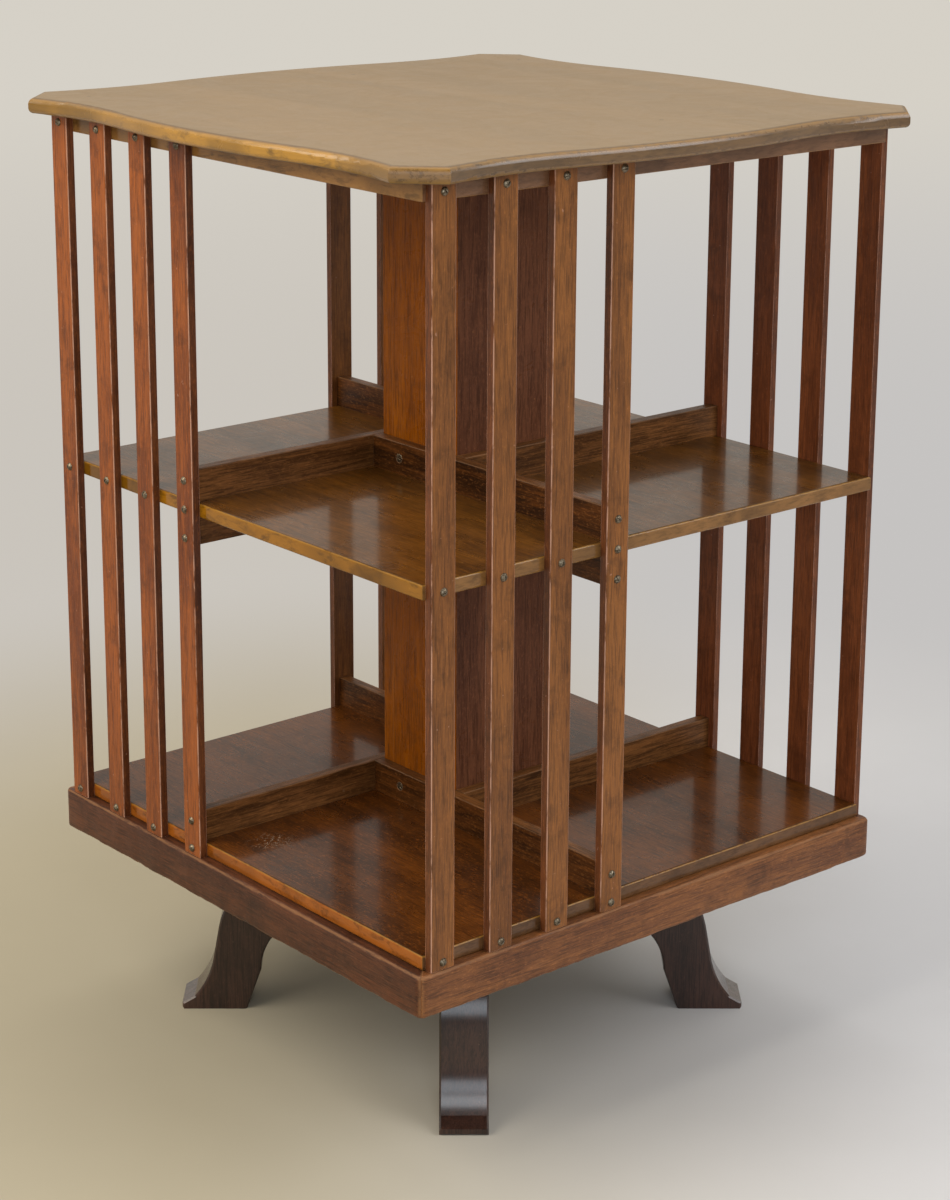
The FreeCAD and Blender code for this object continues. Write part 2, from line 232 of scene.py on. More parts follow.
# Small marks of age: filled holes in the top, pale scratches in the near bay
mark_radius = 0.0024
mark_core = 0.6
mark_places = ((-0.225, 0.215), (0.042, 0.205), (0.235, 0.205), (0.048, -0.18))
top_marks = [(x, y, cad_box[1].z) for x, y in mark_places]
scuff_reach = 0.024
scuff_core = 0.35
thread_width = 0.02
scuff_spot = (-0.198, 0.012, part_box("bottom_board")[1].z)

# Colours of rubbed wood, dust with a painted sheen, and scratches
gold = (0.4, 0.2, 0.035)
bare_wood = (0.3, 0.135, 0.05)
dust_and_sheen_colour = (0.25, 0.195, 0.115)
scratch_colour = (0.5, 0.4, 0.3)


class Nodes:
    """A short way to write the nodes of one material or of the world."""

    def __init__(self, owner, place="Object"):
        self.owner = owner
        owner.use_nodes = True
        self.tree = owner.node_tree
        self.tree.nodes.clear()
        self.place = self.add("ShaderNodeTexCoord").outputs[place]
        self.normal = self.add("ShaderNodeNewGeometry").outputs["Normal"]

    def add(self, kind, **settings):
        node = self.tree.nodes.new(kind)
        for name, value in settings.items():
            setattr(node, name, value)
        return node

    def feed(self, socket, value):
        if isinstance(value, bpy.types.NodeSocket):
            self.tree.links.new(value, socket)
        elif isinstance(value, tuple) and len(value) == 3 and socket.type == "RGBA":
            socket.default_value = (*value, 1.0)
        else:
            socket.default_value = value

    def math(self, operation, first, second=0.0):
        node = self.add("ShaderNodeMath", operation=operation)
        self.feed(node.inputs[0], first)
        self.feed(node.inputs[1], second)
        return node.outputs[0]

    def times(self, first, second):
        return self.math("MULTIPLY", first, second)

    def measure(self, operation, first, second=(0.0, 0.0, 0.0)):
        """The number that a vector operation gives."""
        node = self.add("ShaderNodeVectorMath", operation=operation)
        self.feed(node.inputs[0], first)
        self.feed(node.inputs[1], second)
        return node.outputs["Value"]

    def spread(self, value, between, to=(0.0, 1.0)):
        """A smooth step: from to[0] to to[1] while the value runs between two limits."""
        node = self.add("ShaderNodeMapRange", interpolation_type="SMOOTHSTEP")
        for place, item in enumerate((value, *between, *to)):
            self.feed(node.inputs[place], item)
        return node.outputs[0]

    def mix(self, amount, first, second):
        node = self.add("ShaderNodeMix", data_type="RGBA")
        self.feed(node.inputs["Factor"], amount)
        self.feed(node.inputs[6], first)
        self.feed(node.inputs[7], second)
        return node.outputs[2]

    def mix_shaders(self, amount, first, second):
        node = self.add("ShaderNodeMixShader")
        self.feed(node.inputs[0], amount)
        self.feed(node.inputs[1], first)
        self.feed(node.inputs[2], second)
        return node.outputs[0]

    def noise(self, scale, detail, roughness=0.5, warp=0.0, shift=0.0):
        mapping = self.add("ShaderNodeMapping")
        self.feed(mapping.inputs["Vector"], self.place)
        mapping.inputs["Scale"].default_value = scale
        mapping.inputs["Location"].default_value = (shift, shift, shift)
        node = self.add("ShaderNodeTexNoise")
        self.feed(node.inputs["Vector"], mapping.outputs[0])
        node.inputs["Scale"].default_value = 1.0
        node.inputs["Detail"].default_value = detail
        node.inputs["Roughness"].default_value = roughness
        node.inputs["Distortion"].default_value = warp
        return node.outputs["Fac"]

    def near(self, spot, core, reach, strength):
        """As strong as asked in a core round a spot, and 0 past its reach."""
        away = self.measure("DISTANCE", self.place, spot)
        return self.spread(away, (reach * core, reach), (strength, 0.0))

    def facing(self, axis):
        """How squarely the face looks along an axis, 0 to 1."""
        return self.math("ABSOLUTE", self.measure("DOT_PRODUCT", self.normal, AXES[axis]))

    def slanting(self):
        """1 on eased arrises, which face between the axes, and 0 on the flats."""
        squarest = self.math("MAXIMUM", self.facing("x"), self.facing("y"))
        squarest = self.math("MAXIMUM", squarest, self.facing("z"))
        return self.spread(squarest, flat_range, (1.0, 0.0))

    def surface(self, colour, roughness, normal, metallic=0.0, coat=0.0, coat_blur=0.1, shine=0.5):
        shader = self.add("ShaderNodeBsdfPrincipled")
        self.feed(shader.inputs["Base Color"], colour)
        self.feed(shader.inputs["Roughness"], roughness)
        self.feed(shader.inputs["Normal"], normal)
        shader.inputs["Metallic"].default_value = metallic
        shader.inputs["Specular IOR Level"].default_value = shine
        shader.inputs["Coat Weight"].default_value = coat
        shader.inputs["Coat Roughness"].default_value = coat_blur
        return self.output(shader.outputs[0])

    def output(self, shader, kind="ShaderNodeOutputMaterial"):
        """Ends the nodes, and gives back the material or world they belong to."""
        self.feed(self.add(kind).inputs["Surface"], shader)
        return self.owner

    def bumped(self, height, strength, distance, normal):
        bump = self.add("ShaderNodeBump")
        bump.inputs["Strength"].default_value = strength
        bump.inputs["Distance"].default_value = distance
        self.feed(bump.inputs["Height"], height)
        self.feed(bump.inputs["Normal"], normal)
        return bump.outputs[0]

    def softened(self, radius):
        """The normal with its arrises rounded, and how near an arris the point is."""
        bevel = self.add("ShaderNodeBevel", samples=bevel_samples)
        bevel.inputs["Radius"].default_value = radius
        turn = self.measure("DOT_PRODUCT", bevel.outputs[0], self.normal)
        return bevel.outputs[0], self.math("SUBTRACT", 1.0, turn)


def along_grain(axis, scale, stretch):
    """Noise scale that runs long along the grain."""
    return tuple(scale / stretch if name == axis else scale for name in AXES)


def even(scale):
    """Noise scale that is the same every way."""
    return (scale, scale, scale)


def toned(colour, amount):
    """The colour made darker or lighter."""
    return tuple(min(1.0, part * amount) for part in colour)


def wood(name, grain, dark, light, wear_and_highlight, painted_shading=None, edge=None, end=None, bands=22.0,
         figure=0.35, speckle=0.3, pores=0.5, stain=0.35, wear_and_highlight_strength=0.6, scuffs=(), marks=(), dust_and_sheen=0.0,
         gloss=0.3, shine=0.35, coat=0.0, coat_blur=0.18, round_over=0.0008, relief=0.3, shift=0.0):
    """Polished mahogany: broad tones, figure, pores, worn arrises, scuffs and some dust, with
    painted light and shade on faces that look one way, a painted highlight on the slats' arrises
    and a painted sheen in the dust.

    The face-tone argument is an axis with the dark and light tones of the faces that look along it:
    painted light and shade on those faces. edge and end colour a flat board's long and end faces.
    """
    n = Nodes(bpy.data.materials.new(name))
    colour, ribbon = grained(n, grain, dark, light, painted_shading, bands, figure, shift)
    colour, pore = flecked(n, grain, colour, dark, light, speckle, pores, shift)
    edge_gloss = 1.0
    if edge is not None:
        colour, side = with_edges(n, grain, colour, edge, end, shift)
        edge_gloss = n.math("SUBTRACT", 1.0, n.times(side, edge_smoothness))
    for spot in scuffs:
        colour = scuffed(n, colour, spot)
    for spot in marks:
        near = n.near(spot, mark_core, mark_radius, mark_strength)
        colour = n.mix(near, colour, toned(dark, pore_tone))
    colour = stained(n, colour, dark, stain, shift)
    round_normal, arris = n.softened(round_over)
    bare_and_highlit = rubbed_and_highlit(n, grain, arris, shift)
    # Worn arrises, and on the slats a painted highlight in their pale pink
    colour = n.mix(n.times(bare_and_highlit, wear_and_highlight_strength), colour, wear_and_highlight)
    nick_spots = n.noise(even(nick_scale), detail=1.0, shift=shift + nick_shift)
    nick = n.spread(nick_spots, nick_range)
    colour = n.mix(n.times(nick, nick_strength), colour, wear_and_highlight)
    # Dust on faces that look up, with a painted sheen in it
    if dust_and_sheen > 0.0:
        colour = dusty_and_sheened(n, colour, dust_and_sheen, shift)
    roughness = n.times(smeared(n, gloss, bare_and_highlit, shift), edge_gloss)
    height = n.math("SUBTRACT", n.times(ribbon, ribbon_relief), n.times(pore, pore_relief))
    height = n.math("SUBTRACT", height, nick)
    normal = n.bumped(height, relief, relief_depth, round_normal)
    return n.surface(colour, roughness, normal, coat=coat, coat_blur=coat_blur, shine=shine)


def grained(n, grain, dark, light, painted_shading, bands, figure, shift):
    """Broad tones and ribbon figure, with painted light and shade in other tones on faces that look
    along one axis.
    """
    tone = n.noise(along_grain(grain, bands, tone_stretch), detail=3.0, roughness=0.55, warp=0.3,
                   shift=shift)
    ribbon = n.noise(along_grain(grain, ribbon_scale, ribbon_stretch), detail=4.0, roughness=0.62,
                     warp=0.8, shift=shift)
    blend = n.math("ADD", n.times(tone, 1.0 - figure), n.times(ribbon, figure))
    if painted_shading is not None:
        axis, painted_shading_dark, painted_shading_light = painted_shading
        # Faces that look along the axis take other tones: painted light and shade
        painted_shading_mask = n.spread(n.facing(axis), painted_shading_range)
        dark = n.mix(painted_shading_mask, dark, painted_shading_dark)
        light = n.mix(painted_shading_mask, light, painted_shading_light)
    return n.mix(n.spread(blend, tone_range), dark, light), ribbon


def flecked(n, grain, colour, dark, light, speckle, pores, shift):
    """Pale flecks and fine dark pores, and where the pores are."""
    fleck = n.noise(along_grain(grain, fleck_scale, fleck_stretch), detail=3.0, roughness=0.7,
                    warp=0.5, shift=shift + fleck_shift)
    colour = n.mix(n.spread(fleck, fleck_range, (0.0, speckle)), colour, toned(light, fleck_tone))
    lines = n.noise(along_grain(grain, pore_scale, pore_stretch), detail=2.0, roughness=0.6,
                    shift=shift)
    pore = n.spread(lines, pore_range)
    return n.mix(n.times(pore, pores), colour, toned(dark, pore_tone)), pore


def with_edges(n, grain, colour, edge, end, shift):
    """The board's narrow faces: dirty long grain, streaked end grain, and a dark rim of painted
    shade where the top starts to round.
    """
    flat = n.facing("z")
    side = n.spread(flat, side_range, (1.0, 0.0))
    shade_rim = n.times(n.spread(flat, rim_start), n.spread(flat, rim_end, (1.0, 0.0)))
    streaks = n.noise(edge_streak_scale, detail=4.0, roughness=0.65, warp=0.4, shift=shift)
    patches = n.noise(even(edge_patch_scale), detail=3.0, roughness=0.55, warp=0.3,
                      shift=shift + edge_patch_shift)
    spots = n.noise(edge_spot_scale, detail=5.0, roughness=0.7, warp=0.5, shift=shift)
    dirty = n.math("MAXIMUM", n.spread(patches, edge_patch_range, (0.0, edge_patch_strength)),
                   n.spread(spots, edge_spot_range, (0.0, edge_spot_strength)))
    long_face = n.mix(dirty, edge, toned(edge, edge_dirt_tone))
    dirty_end = n.spread(patches, end_patch_range, (0.0, end_patch_strength))
    streaky_end = n.spread(streaks, end_streak_range, (0.0, end_streak_strength))
    end_face = n.mix(dirty_end, end, toned(end, end_dirt_tone))
    end_face = n.mix(streaky_end, end_face, toned(end, end_streak_tone))
    tint = n.mix(n.spread(n.facing(grain), end_grain_range), long_face, end_face)
    colour = n.mix(side, colour, tint)
    return n.mix(n.times(shade_rim, rim_strength), colour, toned(end, rim_tone)), side


def scuffed(n, colour, spot):
    """Pale thread-like scratches round one spot."""
    winding = n.noise(thread_scale, detail=1.0, warp=1.6, shift=thread_shift)
    off_line = n.math("ABSOLUTE", n.math("SUBTRACT", winding, noise_middle))
    threads = n.spread(off_line, (0.0, thread_width), (thread_strength, 0.0))
    near = n.near(spot, scuff_core, scuff_reach, 1.0)
    return n.mix(n.times(near, threads), colour, scratch_colour)


def stained(n, colour, dark, stain, shift):
    """Dark blotches."""
    blotch = n.noise(even(blotch_scale), detail=5.0, roughness=0.7, warp=0.4,
                     shift=shift + blotch_shift)
    return n.mix(n.spread(blotch, blotch_range, (0.0, stain)), colour, toned(dark, stain_tone))


def rubbed_and_highlit(n, grain, arris, shift):
    """Where the arrises are rubbed bare; on the slats this is also a painted highlight."""
    eased = n.math("MAXIMUM", n.spread(arris, arris_range), n.slanting())
    rub_and_highlight = n.noise(along_grain(grain, rub_and_highlight_scale, rub_and_highlight_stretch), detail=5.0, roughness=0.75,
                  shift=shift + rub_and_highlight_shift)
    return n.times(eased, n.spread(rub_and_highlight, rub_and_highlight_range))


def dusty_and_sheened(n, colour, dust_and_sheen, shift):
    """A thin haze of dust on faces that look up, which also paints in the top's sheen."""
    cloud = n.noise(even(haze_scale), detail=6.0, roughness=0.75, warp=0.5, shift=shift)
    haze = n.spread(cloud, haze_range, (dust_and_sheen * thinnest_dust_and_sheen, dust_and_sheen))
    up = n.spread(n.measure("DOT_PRODUCT", n.normal, AXES["z"]), upward_range)
    return n.mix(n.times(haze, up), colour, dust_and_sheen_colour)


def smeared(n, gloss, bare_and_highlit, shift):
    """Roughness that varies with smears, and more of it on bare wood."""
    smear = n.noise(even(smear_scale), detail=5.0, roughness=0.7, warp=1.2,
                    shift=shift + smear_shift)
    varied = n.spread(smear, smear_range, [gloss * part for part in smear_gloss])
    return n.math("ADD", varied, n.times(bare_and_highlit, rub_roughness))


def metal(name, colour, tarnish, roughness):
    """Dulled metal with tarnish in patches and fine scratches."""
    n = Nodes(bpy.data.materials.new(name))
    patch = n.noise(even(tarnish_scale), detail=4.0, roughness=0.65, warp=0.4)
    tint = n.mix(n.spread(patch, tarnish_range), colour, tarnish)
    round_normal, arris = n.softened(metal_round_over)
    bright = n.spread(arris, metal_arris_range, (0.0, metal_arris_strength))
    tint = n.mix(bright, tint, toned(colour, metal_arris_tone))
    scratches = n.noise(scratch_scale, detail=3.0, roughness=0.7)
    rough = n.spread(scratches, scratch_range, [roughness * part for part in scratch_gloss])
    normal = n.bumped(scratches, scratch_relief, scratch_depth, round_normal)
    return n.surface(tint, rough, normal, metallic=1.0)


def paint(nodes, material):
    """Gives CAD nodes one material."""
    for name in nodes:
        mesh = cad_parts[name].data
        mesh.materials.clear()
        mesh.materials.append(material)


def named(*starts):
    """The CAD nodes whose names start in one of these ways."""
    return [name for name in sorted(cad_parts) if name.startswith(starts)]


def paint_top():
    top = wood("top_polish", "y", dark=(0.21, 0.128, 0.056), light=(0.25, 0.152, 0.068), wear_and_highlight=gold,
               edge=(0.42, 0.21, 0.022), end=(0.175, 0.092, 0.032), figure=0.3, speckle=0.12,
               pores=0.15, stain=0.05, wear_and_highlight_strength=0.35, marks=top_marks, dust_and_sheen=0.3, gloss=0.6, shine=0.7,
               coat=0.1, coat_blur=0.3, relief=0.04)
    paint(["top_plate"], top)


def paint_sub_top():
    under = wood("sub_top_wood", "y", dark=(0.15, 0.072, 0.028), light=(0.25, 0.125, 0.042),
                 wear_and_highlight=gold, edge=(0.34, 0.165, 0.045), end=(0.24, 0.115, 0.055), gloss=0.45)
    paint(["sub_top", "bearing_block"], under)


def paint_shelf():
    shelf = wood("shelf_polish", "y", dark=(0.065, 0.026, 0.005), light=(0.18, 0.068, 0.009),
                 wear_and_highlight=gold, edge=(0.31, 0.13, 0.006), end=(0.27, 0.13, 0.04), figure=0.5,
                 speckle=0.35, shine=0.1, coat=0.5, coat_blur=0.1, relief=0.08)
    paint(named("shelf_board_"), shelf)


def paint_bottom():
    bottom = wood("floor_polish", "y", dark=(0.05, 0.016, 0.004), light=(0.145, 0.043, 0.006),
                  wear_and_highlight=gold, edge=(0.36, 0.105, 0.012), end=(0.17, 0.08, 0.032), figure=0.3,
                  speckle=0.6, scuffs=[scuff_spot], shine=0.1, coat=0.38, coat_blur=0.11,
                  relief=0.08, shift=2.0)
    paint(["bottom_board"], bottom)


def slat_tones(side):
    """Dark and light: the left slats are the reddest, which is partly painted light from the warm
    lamp on the left, and the front and back ones the brownest.
    """
    if side == "left":
        return (0.15, 0.037, 0.009), (0.35, 0.096, 0.018)
    if side == "right":
        return (0.15, 0.042, 0.015), (0.29, 0.085, 0.028)
    return (0.15, 0.053, 0.014), (0.27, 0.1, 0.024)


def paint_slats(side, place, along):
    dark, light = slat_tones(side)
    # Painted shade: the narrow side faces between the slats take darker tones. The pale pink arris
    # colour is a painted highlight as well as wear.
    finish = wood("slat_finish_" + side, "z", dark, light, wear_and_highlight=(0.6, 0.34, 0.24),
                  painted_shading=(along, (0.085, 0.026, 0.01), (0.19, 0.06, 0.02)), bands=34.0, figure=0.4,
                  speckle=0.2, pores=0.45, stain=0.5, wear_and_highlight_strength=0.8, gloss=0.34, shine=0.25,
                  shift=11.0 * place)
    paint(named("slat_%s_" % side), finish)


def paint_column(side, place):
    # Painted light: faces that look along x take brighter, oranger tones, as if lit by the warm
    # lamp on the left.
    finish = wood("column_finish_" + side, "z", dark=(0.125, 0.045, 0.022),
                  light=(0.2, 0.075, 0.035), wear_and_highlight=(0.4, 0.17, 0.06),
                  painted_shading=("x", (0.27, 0.07, 0.002), (0.4, 0.112, 0.004)), bands=34.0, figure=0.45,
                  speckle=0.35, pores=0.45, stain=0.3, wear_and_highlight_strength=0.5, shine=0.1,
                  shift=7.0 + 5.0 * place)
    paint(["column_board_" + side], finish)


def rail_tones(side):
    """Dark and light: the front and back rails are the paler ones."""
    if side in ("front", "back"):
        return (0.12, 0.04, 0.014), (0.28, 0.105, 0.03)
    return (0.05, 0.016, 0.007), (0.12, 0.038, 0.014)


def paint_rail(side, place, along):
    dark, light = rail_tones(side)
    rail = wood("plinth_finish_" + side, along, dark, light, wear_and_highlight=bare_wood, stain=0.5, gloss=0.42,
                round_over=0.002, shift=3.0 * place)
    paint(["plinth_rail_" + side], rail)


def paint_fences(side, place, along):
    # Painted shade: faces that look along x take darker tones.
    fence = wood("fence_finish_" + side, along, dark=(0.08, 0.03, 0.008),
                 light=(0.24, 0.095, 0.028), wear_and_highlight=(0.26, 0.15, 0.08),
                 painted_shading=("x", (0.026, 0.009, 0.003), (0.13, 0.042, 0.009)), bands=60.0, figure=0.6,
                 gloss=0.36, shine=0.15, shift=1.0 + place)
    paint(["shelf_fence_" + side, "floor_fence_" + side], fence)


def paint_sides():
    for place, side in enumerate(SIDES):
        along = "x" if side in ("front", "back") else "y"
        paint_slats(side, place, along)
        paint_column(side, place)
        paint_rail(side, place, along)
        paint_fences(side, place, along)


def paint_stand():
    legs = wood("stand_finish", "z", dark=(0.022, 0.009, 0.006), light=(0.06, 0.025, 0.016),
                wear_and_highlight=(0.2, 0.11, 0.07), figure=0.4, speckle=0.25, wear_and_highlight_strength=0.0, gloss=0.34, shine=0.15,
                coat=1.0, coat_blur=0.2)
    paint(named("leg_front", "leg_back"), legs)
    arms = wood("cross_finish", "x", dark=(0.03, 0.014, 0.009), light=(0.075, 0.034, 0.02),
                wear_and_highlight=(0.2, 0.1, 0.06), gloss=0.5)
    paint(named("cross_bearer_") + ["hub_rail"], arms)
    pegs = wood("peg_wood", "y", dark=(0.4, 0.27, 0.16), light=(0.56, 0.41, 0.27),
                wear_and_highlight=(0.6, 0.45, 0.3), gloss=0.6)
    paint(["leg_dowels"], pegs)


def paint_metal():
    steel = metal("dull_steel", (0.4, 0.38, 0.35), tarnish=(0.2, 0.17, 0.14), roughness=0.4)
    paint(["spindle", "flange_screws", "socket_screws", "top_screws"], steel)
    iron = metal("black_iron", (0.1, 0.1, 0.1), tarnish=(0.06, 0.04, 0.03), roughness=0.6)
    paint(["spindle_flange", "socket_plate"], iron)
    brass = metal("turned_brass", (0.62, 0.44, 0.19), tarnish=(0.3, 0.2, 0.09), roughness=0.35)
    paint(["thrust_washer", "upper_bush"], brass)


def mesh_from(built, name):
    """A mesh of what was built, which is then let go."""
    mesh = bpy.data.meshes.new(name)
    built.to_mesh(mesh)
    built.free()
    return mesh


def placed(name, data):
    """A new object in the scene."""
    thing = bpy.data.objects.new(name, data)
    bpy.context.scene.collection.objects.link(thing)
    return thing


def smooth_between_arrises(mesh):
    mesh.polygons.foreach_set("use_smooth", [True] * len(mesh.polygons))
    mesh.set_sharp_from_angle(angle=math.radians(sharp_angle))


def quarter_turns(count):
    return Matrix.Rotation(math.radians(right_angle * count), 3, "Z")


def outward_of(place):
    """The way out of the front, turned to another side."""
    return quarter_turns(place) @ Vector((0.0, -1.0, 0.0))


def solid_between(mesh, tool_mesh, operation):
    """A new mesh: one closed mesh cut by, or kept inside, another."""
    body = placed("body", mesh)
    tool = placed("tool", tool_mesh)
    cut = body.modifiers.new("cut", "BOOLEAN")
    cut.operation = operation
    cut.object = tool
    cut.solver = "EXACT"
    bpy.context.view_layer.update()
    evaluated = body.evaluated_get(bpy.context.evaluated_depsgraph_get())
    made = bpy.data.meshes.new_from_object(evaluated)
    bpy.data.objects.remove(body)
    bpy.data.objects.remove(tool)
    return made


def head_mesh(radius, height, rings, segments):
    """A closed low dome, looking along +Z, its rim on z=0."""
    dome = bmesh.new()
    ball = (radius ** 2 + height ** 2) / (2 * height)
    widest = math.asin(min(1.0, radius / ball))
    loops = []
    for ring in range(1, rings + 1):
        turn = widest * ring / rings
        reach = ball * math.sin(turn)
        z = ball * math.cos(turn) - ball + height
        loop = []
        for step in range(segments):
            around = math.tau * step / segments
            loop.append(dome.verts.new((reach * math.cos(around), reach * math.sin(around), z)))
        loops.append(loop)
    top = dome.verts.new((0, 0, height))
    for step in range(segments):
        after = (step + 1) % segments
        dome.faces.new((top, loops[0][step], loops[0][after]))
        for inner, outer in zip(loops, loops[1:]):
            dome.faces.new((inner[step], outer[step], outer[after], inner[after]))
    dome.faces.new(list(reversed(loops[-1])))
    return mesh_from(dome, "head")


def slotted(mesh, top):
    """The dome with a driver's slot cut across it."""
    cutter = bmesh.new()
    bmesh.ops.create_cube(cutter, size=1.0)
    size = Vector((slot_length, slot_width, slot_depth * 2))
    bmesh.ops.scale(cutter, vec=size, verts=cutter.verts)
    bmesh.ops.translate(cutter, vec=(0, 0, top), verts=cutter.verts)
    return solid_between(mesh, mesh_from(cutter, "slot"), "DIFFERENCE")


def heads_at(name, prototype, places, material, node):
    """One piece made of a slotted head at each (point, outward direction)."""
    joined = bmesh.new()
    for point, outward in places:
        start = len(joined.verts)
        joined.from_mesh(prototype)
        joined.verts.ensure_lookup_table()
        turn = Matrix.Rotation(random.uniform(0, math.pi), 4, "Z")
        aim = Vector(outward).to_track_quat("Z", "Y").to_matrix().to_4x4()
        spot = Matrix.Translation(point) @ aim @ turn
        bmesh.ops.transform(joined, matrix=spot, verts=joined.verts[start:])
    mesh = mesh_from(joined, name)
    mesh.materials.append(material)
    smooth_between_arrises(mesh)
    piece = placed(name, mesh)
    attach(piece, "case")
    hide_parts(node)


def slat_screw_spots():
    """Where round heads sit: on each slat at every board, and on the last at its fences."""
    boards = ["bottom_board", "shelf_board_front", "sub_top"]
    middles = [(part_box(name)[0].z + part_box(name)[1].z) / 2 for name in boards]
    shelf_low, shelf_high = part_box("shelf_board_front")
    beside_fences = [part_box("bottom_board")[1].z + screws_from_board,
                     shelf_high.z + screws_from_board, shelf_low.z - screws_from_board]
    spots = []
    for place, side in enumerate(SIDES):
        outward = outward_of(place)
        for number in range(1, slats_a_side + 1):
            low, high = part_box("slat_%s_%d" % (side, number))
            centre = (low + high) / 2
            half = (high - low) / 2
            face = centre + outward * abs(half.dot(outward))
            heights = middles + (beside_fences if number == slats_a_side else [])
            spots += [(Vector((face.x, face.y, height)), outward) for height in heights]
    return spots


def fence_screw_spots():
    """Where flat heads sit: behind each bay, in the fences on the column."""
    floor_low, floor_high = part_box("floor_fence_front")
    column_low, column_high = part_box("column_board_front")
    reach = max((column_high - column_low).x / 2, -floor_low.y)
    heights = [(floor_low.z + floor_high.z) / 2,
               (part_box("shelf_board_front")[1].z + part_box("shelf_fence_front")[1].z) / 2]
    spots = []
    for place in range(len(SIDES)):
        outward = outward_of(place)
        level = quarter_turns(place) @ Vector((-fence_screw_place, -reach + flat_head_sink, 0))
        spots += [(Vector((level.x, level.y, height)), outward) for height in heights]
    return spots


def make_screws():
    bronze = metal("bronzed_screw", (0.27, 0.225, 0.16), tarnish=(0.1, 0.075, 0.05), roughness=0.42)
    dome = head_mesh(head_radius, head_height, head_rings, head_segments)
    heads_at("round_screw_heads", slotted(dome, head_height), slat_screw_spots(), bronze,
             "slat_screws")
    grey = metal("fence_screw", (0.38, 0.32, 0.22), tarnish=(0.14, 0.11, 0.08), roughness=0.45)
    flat = head_mesh(flat_head_radius, flat_head_dome, flat_head_rings, head_segments)
    heads_at("flat_screw_heads", slotted(flat, flat_head_dome), fence_screw_spots(), grey,
             "fence_screws")


def outline(half):
    """Points round the plinth's outside, each with its way out."""
    path = []
    length = 2 * (half - corner_round)
    for corner in range(len(SIDES)):
        way = quarter_turns(corner) @ Vector((1.0, 1.0, 0.0))
        along = quarter_turns(corner) @ Vector((-1.0, 0.0, 0.0))
        for step in range(corner_steps + 1):
            turn = math.radians(right_angle * corner + right_angle * step / corner_steps)
            out = Vector((math.cos(turn), math.sin(turn), 0.0))
            path.append((way * (half - corner_round) + out * corner_round, out))
        start, out = path[-1]
        path += [(start + along * length * step / edge_steps, out) for step in range(1, edge_steps)]
    return path


def eased_points(spot, out, low, high):
    """Points up the side at one spot, with its lower and upper edge worn by the same amount."""
    long_wave = long_wear * noise.noise(spot * long_wear_scale)
    short_wave = short_wear * noise.noise(spot * short_wear_scale)
    ease = edge_ease * (1.0 + long_wave + short_wave)
    turns = [math.radians(right_angle * step / ease_steps) for step in range(ease_steps + 1)]
    points = []
    for level, way, order in ((low, 1.0, turns), (high, -1.0, reversed(turns))):
        for turn in order:
            point = spot - out * (ease * (1.0 - math.sin(turn)))
            points.append((point.x, point.y, level + way * ease * (1.0 - math.cos(turn))))
    return points


def worn_block(low, high):
    """The plinth's outside with rounded corners and long edges worn unevenly."""
    block = bmesh.new()
    rings = [[block.verts.new(point) for point in eased_points(spot, out, low.z, high.z)]
             for spot, out in outline(high.x)]
    for first, second in zip(rings, rings[1:] + rings[:1]):
        for place in range(len(first) - 1):
            block.faces.new((first[place], second[place], second[place + 1], first[place + 1]))
    block.faces.new([ring[-1] for ring in rings])
    block.faces.new([ring[0] for ring in reversed(rings)])
    return mesh_from(block, "worn_block")


def round_the_plinth():
    """Each rail again, kept inside the worn block, so its corners and edges are soft."""
    corners = [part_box("plinth_rail_" + side) for side in SIDES]
    skin = Vector((worn_skin, worn_skin, worn_skin))
    low = Vector([min(pair[0][axis] for pair in corners) for axis in range(3)]) + skin
    high = Vector([max(pair[1][axis] for pair in corners) for axis in range(3)]) - skin
    block = worn_block(low, high)
    for side in SIDES:
        node = "plinth_rail_" + side
        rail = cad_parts[node].data
        mesh = solid_between(rail.copy(), block, "INTERSECT")
        mesh.materials.clear()
        mesh.materials.append(rail.materials[0])
        smooth_between_arrises(mesh)
        piece = placed("worn_rail_" + side, mesh)
        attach(piece, "case")
        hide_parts(node)


def across_the_view():
    """The camera's right, level."""
    around = math.radians(camera_azimuth)
    return (math.cos(around), math.sin(around), 0.0)


def away_from_camera():
    around = math.radians(camera_azimuth)
    return (-math.sin(around), math.cos(around), 0.0)


def floor_paper():
    """Pale paper, with painted light that makes it warm on the left and cool on the right, that
    can't be seen from below.
    """
    n = Nodes(bpy.data.materials.new("paper_floor"))
    across = n.measure("DOT_PRODUCT", n.place, across_the_view())
    warm_to_cool = n.spread(across, warm_to_cool_range)
    mottle = n.noise(even(mottle_scale), detail=4.0, roughness=0.6)
    # Painted light: the near floor warmer and darker on the left, cooler and brighter on the right
    colour = n.mix(warm_to_cool, near_floor_left, near_floor_right)
    colour = n.mix(n.spread(mottle, mottle_range, (0.0, mottle_strength)), colour, floor_mottle)
    paper = n.add("ShaderNodeBsdfDiffuse")
    n.feed(paper.inputs["Color"], colour)
    far = n.measure("LENGTH", n.place)
    middle = n.mix(warm_to_cool, middle_floor_left, middle_floor_right)
    glow = n.add("ShaderNodeEmission")
    n.feed(glow.inputs["Color"], n.mix(n.spread(far, far_range), middle, far_floor))
    rays = n.add("ShaderNodeLightPath").outputs
    seen = n.math("MAXIMUM", rays["Is Camera Ray"], rays["Is Glossy Ray"])
    seen = n.math("MAXIMUM", seen, rays["Is Transmission Ray"])
    glowing = n.times(seen, n.spread(far, glow_range))
    above = n.mix_shaders(glowing, paper.outputs[0], glow.outputs[0])
    below = n.add("ShaderNodeBsdfTransparent").outputs[0]
    underside = n.add("ShaderNodeNewGeometry").outputs["Backfacing"]
    return n.output(n.mix_shaders(underside, above, below))


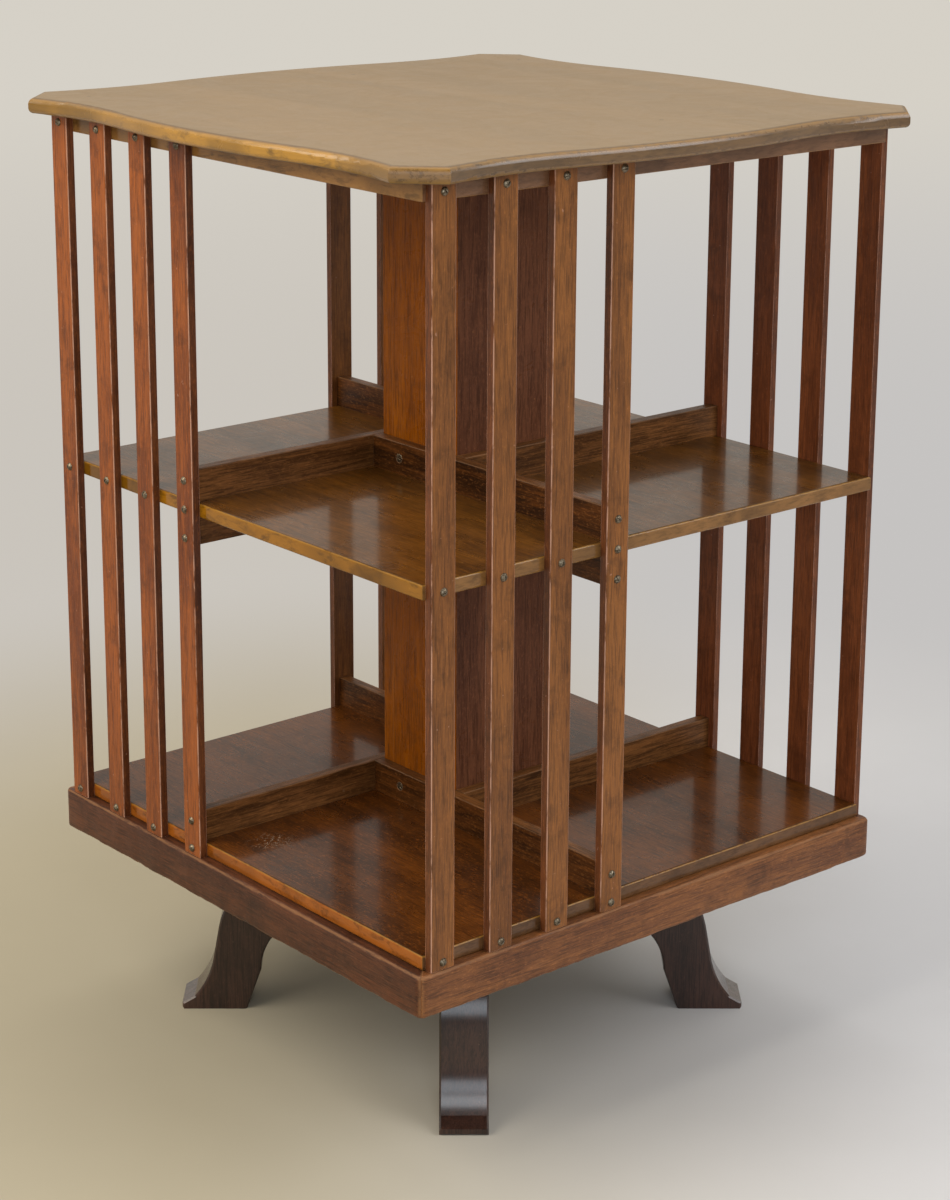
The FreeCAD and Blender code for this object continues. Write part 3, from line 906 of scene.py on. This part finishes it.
def make_floor():
    """A wide sheet that keeps the shadow and fades into the room."""
    sheet = bmesh.new()
    bmesh.ops.create_circle(sheet, cap_ends=True, radius=floor_radius, segments=floor_segments)
    floor = placed("floor", mesh_from(sheet, "floor"))
    floor.data.materials.append(floor_paper())


def make_world():
    """The camera sees the backdrop all round; other rays find the dim room in front."""
    n = Nodes(bpy.data.worlds.new("studio"), place="Generated")
    behind = n.spread(n.measure("DOT_PRODUCT", n.place, away_from_camera()), backdrop_range)
    rays = n.add("ShaderNodeLightPath").outputs
    bright = n.math("MAXIMUM", behind, rays["Is Camera Ray"])
    back = n.add("ShaderNodeBackground")
    n.feed(back.inputs["Color"], n.mix(bright, room_colour, backdrop_colour))
    bpy.context.scene.world = n.output(back.outputs[0], "ShaderNodeOutputWorld")


def lamp(name, azimuth, elevation, distance, size, power, colour):
    """A soft area lamp that looks at the middle of the bookcase."""
    data = bpy.data.lights.new(name, "AREA")
    data.shape = "RECTANGLE"
    data.size = size[0]
    data.size_y = size[1]
    data.energy = power
    data.color = colour
    light = placed(name, data)
    around = math.radians(azimuth)
    up = math.radians(elevation)
    middle = (cad_box[0] + cad_box[1]) / 2
    way = Vector((math.sin(around) * math.cos(up), -math.cos(around) * math.cos(up), math.sin(up)))
    light.location = middle + way * distance
    light.rotation_mode = "QUATERNION"
    light.rotation_quaternion = way.to_track_quat("Z", "Y")


def make_lights():
    lamp("window_left", azimuth=-104, elevation=42, distance=2.6, size=(2.1, 2.1), power=56,
         colour=(1.0, 0.92, 0.79))
    lamp("window_front", azimuth=-36, elevation=28, distance=2.9, size=(0.9, 0.7), power=13,
         colour=(0.88, 0.94, 1.0))
    lamp("window_low", azimuth=-38, elevation=11, distance=2.9, size=(0.9, 0.75), power=10,
         colour=(0.82, 0.91, 1.0))
    lamp("right_fill", azimuth=32, elevation=36, distance=2.9, size=(1.9, 1.9), power=38,
         colour=(0.97, 0.98, 1.0))
    lamp("overhead", azimuth=140, elevation=78, distance=2.4, size=(1.9, 1.9), power=15,
         colour=(1.0, 0.98, 0.95))


def make_camera():
    data = bpy.data.cameras.new("camera")
    data.sensor_width = camera_sensor
    data.lens = camera_lens
    data.shift_y = camera_shift
    camera = placed("camera", data)
    around = math.radians(camera_azimuth)
    level = (math.sin(around) * camera_distance, -math.cos(around) * camera_distance)
    heading = Matrix.Rotation(math.radians(camera_heading), 4, "Z")
    tilt = Matrix.Rotation(math.radians(right_angle - camera_pitch), 4, "X")
    roll = Matrix.Rotation(math.radians(camera_roll), 4, "Z")
    camera.matrix_world = Matrix.Translation((*level, camera_height)) @ heading @ tilt @ roll
    bpy.context.scene.camera = camera


bpy.context.scene.view_settings.view_transform = "Standard"
make_camera()
make_floor()
make_world()
make_lights()
paint_top()
paint_sub_top()
paint_shelf()
paint_bottom()
paint_sides()
paint_stand()
paint_metal()
make_screws()
round_the_plinth()
